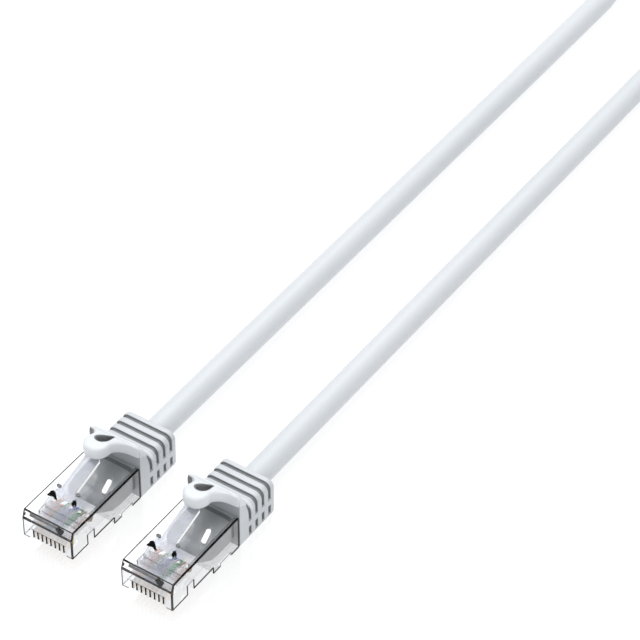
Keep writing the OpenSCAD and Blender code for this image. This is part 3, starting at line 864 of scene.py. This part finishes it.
def boot_row(y, groove, depth):
    """Half of the boot's outline at y with a groove's depth taken off: (x, y, z, depth there)."""
    row = []
    section = boot_section(y)
    top = section[-1][1]
    corner_step = 0
    for x, z, (dx, dz), stretch in section:
        corner_step = corner_step + 1 if stretch == "top_corner" else 0
        cut = depth * groove_share(z, stretch, groove == SIDE_GROOVE, corner_step)
        forward = lean(y) * ease((z - LEAN_Z) / (top - LEAN_Z))
        row.append((x + dx * cut, y - forward, z + dz * cut, cut))
    return row


def make_boot(end):
    cuts = {y: (None, 0.0) for y in PLAIN_STATIONS}
    cuts.update({round(groove + dy, 4): (groove, depth) for groove in (SIDE_GROOVE, *GROOVES)
                 for dy, depth in GROOVE_SHAPE})
    stations = sorted(cuts)
    rows = []
    for y in stations:
        half = boot_row(y, *cuts[y])
        rows.append(half + [(-x, y_here, z, cut) for x, y_here, z, cut in half[-2:0:-1]])
    count, top_j = len(rows[0]), len(half) - 1
    verts, faces, looks = [], [], []
    for row in rows:
        verts += [place(end, (x, y, z)) for x, y, z, _ in row]
    for r in range(len(rows) - 1):
        faces += band(count, r * count, (r + 1) * count)
        on_slope = stations[r + 1] < HIGHLIGHT_END_Y
        for j in range(count):
            jn = (j + 1) % count
            cut = (rows[r][j][3] + rows[r][jn][3] + rows[r + 1][jn][3] + rows[r + 1][j][3]) / 4
            # painted highlight on the rim's slope near the middle
            plain = "guard" if on_slope and abs(j - top_j) <= HIGHLIGHT_FACES else "boot"
            # painted shade in the grooves
            looks.append("groove" if cut > GROOVE_SHADE_DEPTH else plain)
    # rear face, running in to the cable's hole
    for inward, y in ((0.12, BOOT_Y1), (1.0, BOOT_Y1 - 0.02), (1.0, BOOT_Y1 - 1.5)):
        base = len(verts)
        for x, _, z, _ in rows[-1]:
            a = math.atan2(z - CABLE_Z, x)
            hole_x, hole_z = HOLE_R * math.cos(a), CABLE_Z + HOLE_R * math.sin(a)
            verts.append(place(end, (x + (hole_x - x) * inward, y, z + (hole_z - z) * inward)))
        faces += band(count, base - count, base)
        looks += ["boot"] * count
    # front face against the plug, in painted shade
    faces.append(tuple(reversed(range(count))))
    looks.append("boot_front_shade")
    ob = mesh_piece(f"boot_shell_{end}", [(verts, faces, looks)], BOOT_MATS, 35)
    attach(ob, "cable")
    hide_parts(f"boot_{end}")


# the moulded core: half width, top and underside along y
CORE_HALF_W = [(9.9, 1.6), (10.0, 2.1), (10.4, 2.9), (11.3, 3.7), (12.6, 4.2), (14.5, 4.55), (17.0, 4.8),
               (20.5, 4.85), (20.55, 4.6), (21.45, 4.6)]
CORE_TOP = [(9.9, 5.9), (10.6, 6.6), (11.4, 6.95), (12.5, 7.04), (21.5, 7.04)]
CORE_LOW = [(9.9, 2.95), (11.7, 2.72), (14.4, 0.97), (21.5, 0.97)]
CORE_SIDES = 14
CORE_SQUARENESS = 0.32


def make_core(end):
    """The boot's moulded core, which fills the rear of the clear housing, in painted shade, with a narrower
    band before the boot in darker painted shade.
    """

    def squared(t):
        return math.copysign(abs(t) ** CORE_SQUARENESS, t)

    verts, faces, looks = [], [], []
    last = len(CORE_HALF_W) - 1
    for r, (y, w) in enumerate(CORE_HALF_W):
        top, low = table(CORE_TOP, y), table(CORE_LOW, y)
        for k in range(CORE_SIDES):
            a = 2 * math.pi * (k + 0.5) / CORE_SIDES
            z = (top + low) / 2 + (top - low) / 2 * squared(math.sin(a))
            verts.append(place(end, (w * squared(math.cos(a)), y, z)))
        if r < last:
            faces += band(CORE_SIDES, r * CORE_SIDES, (r + 1) * CORE_SIDES)
            # painted shade: darker on the last band, before the boot
            looks += ["core_dark" if r == last - 1 else "core"] * CORE_SIDES
    faces += [tuple(reversed(range(CORE_SIDES))), tuple(last * CORE_SIDES + j for j in range(CORE_SIDES))]
    looks += ["core", "core_dark"]
    ob = mesh_piece(f"boot_core_{end}", [(verts, faces, looks)], ["core", "core_dark"], 35)
    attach(ob, "cable")


# ------------------------------------------------------------ snag guard

# half of the guard's outline and of its window, as (y, x), and its underside and top along y
GUARD_HALF = [
    (13.65, 0.0), (13.68, 0.5), (13.75, 0.95), (14.04, 1.5), (14.46, 1.97), (14.85, 2.28), (15.28, 2.52),
    (16.0, 2.72), (16.6, 2.70), (17.24, 2.62), (17.9, 2.66), (18.68, 2.86), (19.4, 3.1), (19.95, 3.4),
    (20.4, 3.75), (20.77, 4.3), (21.04, 4.95), (21.25, 5.5), (21.44, 5.9), (22.4, 5.95), (22.45, 3.0),
    (22.45, 0.0),
]
WINDOW_HALF = [(16.75, 0.0), (16.82, 0.42), (17.05, 0.8), (17.4, 1.05), (17.8, 1.15), (18.3, 1.12),
               (19.0, 0.92), (19.7, 0.66), (20.4, 0.40), (21.0, 0.18), (21.3, 0.0)]
GUARD_LOW = [(13.6, 13.95), (15.6, 13.95), (16.4, 13.85), (17.2, 13.6), (18.0, 13.2), (19.0, 12.6),
             (20.0, 11.9), (20.8, 11.25), (21.6, 10.5), (22.6, 10.4)]
GUARD_TOP = [(13.6, 16.35), (15.0, 16.45), (16.0, 16.4), (17.0, 16.2), (18.0, 15.75), (19.0, 15.15),
             (20.0, 14.45), (20.8, 13.8), (21.6, 13.2), (22.6, 12.2)]
GUARD_COUNT = 112  # points around the outline, and around the window
ROOT_Y, ROOT_SHARE = 21.7, 0.86  # behind ROOT_Y the outline answers to the window's last part
ARC_STEPS = 6
FLARE_X = -4.6  # left of this the outline is the flare


def mirrored(half):
    """A closed symmetric loop from its right half, which starts and ends in the middle."""
    return half + [Vector((-p.x, p.y, 0)) for p in half[-2:0:-1]]


def even_half(outline):
    """Evenly spaced points along half of an outline given as (y, x)."""
    line = smooth_line([(x, y, 0) for y, x in outline], 0.08)
    run = [0.0]
    for a, b in zip(line, line[1:]):
        run.append(run[-1] + (b - a).length)
    steps = GUARD_COUNT // 2
    points = []
    for k in range(steps + 1):
        d = run[-1] * k / steps
        i = min(len(run) - 2, bisect_right(run, d) - 1)
        t = (d - run[i]) / max(1e-9, run[i + 1] - run[i])
        points.append(line[i].lerp(line[i + 1], min(1.0, t)))
    return points


def window_half(outer, even):
    """The window's points that answer to the outline's, with few of them for the outline behind the root."""
    steps = len(outer) - 1
    root = next(k for k, p in enumerate(outer) if p.y > ROOT_Y)
    points = []
    for k in range(steps + 1):
        if k <= root:
            share = ROOT_SHARE * k / root
        else:
            share = ROOT_SHARE + (1 - ROOT_SHARE) * (k - root) / (steps - root)
        i = min(steps - 1, int(share * steps))
        points.append(even[i].lerp(even[i + 1], share * steps - i))
    return points


def band_section():
    """The guard's cross-section: outer edge upwards, top, window's edge downwards, underside."""
    turn = [math.pi * (k / ARC_STEPS - 0.5) for k in range(ARC_STEPS + 1)]
    section = [("outer", math.cos(a), math.sin(a)) for a in turn]
    section += [("top", share, 1.0) for share in (0.3, 0.5, 0.7)]
    section += [("window", math.cos(a), math.sin(-a)) for a in turn]
    section += [("low", share, -1.0) for share in (0.7, 0.5, 0.3)]
    return section


def section_point(outer, window, kind, reach, rise):
    """Corner of the cross-section from outer to window. reach and rise are as band_section gives them."""
    span = (window - outer).length
    across = (window - outer) / max(span, 1e-9)
    outer_r, window_r, low_r = min(0.95, span * 0.42), min(0.35, span * 0.3), min(0.35, span * 0.3)
    if kind in ("outer", "window"):
        top_r = outer_r if kind == "outer" else window_r
        inset = (top_r if rise > 0 else low_r) * (1 - reach)
        p = outer + across * inset if kind == "outer" else window - across * inset
        top, low = table(GUARD_TOP, p.y), table(GUARD_LOW, p.y)
        if abs(rise) < 1e-6:
            z = (top - top_r + low + low_r) / 2
        else:
            z = top - top_r * (1 - rise) if rise > 0 else low + low_r * (1 + rise)
    else:
        lead, tail = (outer_r, window_r) if kind == "top" else (low_r, low_r)
        p = outer + across * (lead + (span - lead - tail) * (reach - 0.1) / 0.8)
        z = table(GUARD_TOP if kind == "top" else GUARD_LOW, p.y)
    return p.x, p.y, z


def make_guard(end):
    """The guard as a closed band between its outline and its window."""
    outer_half = even_half(GUARD_HALF)
    outer = mirrored(outer_half)
    window = mirrored(window_half(outer_half, even_half(WINDOW_HALF)))
    section = band_section()
    size = len(section)
    verts, faces, looks = [], [], []
    for i in range(GUARD_COUNT):
        verts += [place(end, section_point(outer[i], window[i], *corner)) for corner in section]
        faces += band(size, i * size, (i + 1) % GUARD_COUNT * size)
        # in shade: the window's edge, and the lower half of the left flare's outer edge
        for kind, _, rise in section:
            flare_edge = outer[i].x < FLARE_X and kind == "outer" and rise <= 0
            looks.append("shade" if kind == "window" or flare_edge else "guard")
    ob = mesh_piece(f"snag_guard_skin_{end}", [(verts, faces, looks)], ["guard", "shade"], 55)
    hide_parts(f"snag_guard_{end}")
    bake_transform(ob)


# ------------------------------------------------------------ build

make_camera()
make_studio()
make_floor()
cable = make_cable()
tie = make_tie()
for end in ENDS:
    make_housing(end)
    make_latch(end)
    make_wires(end)
    make_contacts(end)
    make_load_bar(end)
    make_boot(end)
    make_core(end)
    make_guard(end)
    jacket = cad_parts[f"jacket_end_{end}"]
    jacket.data.materials.clear()
    jacket.data.materials.append(M["jacket"])
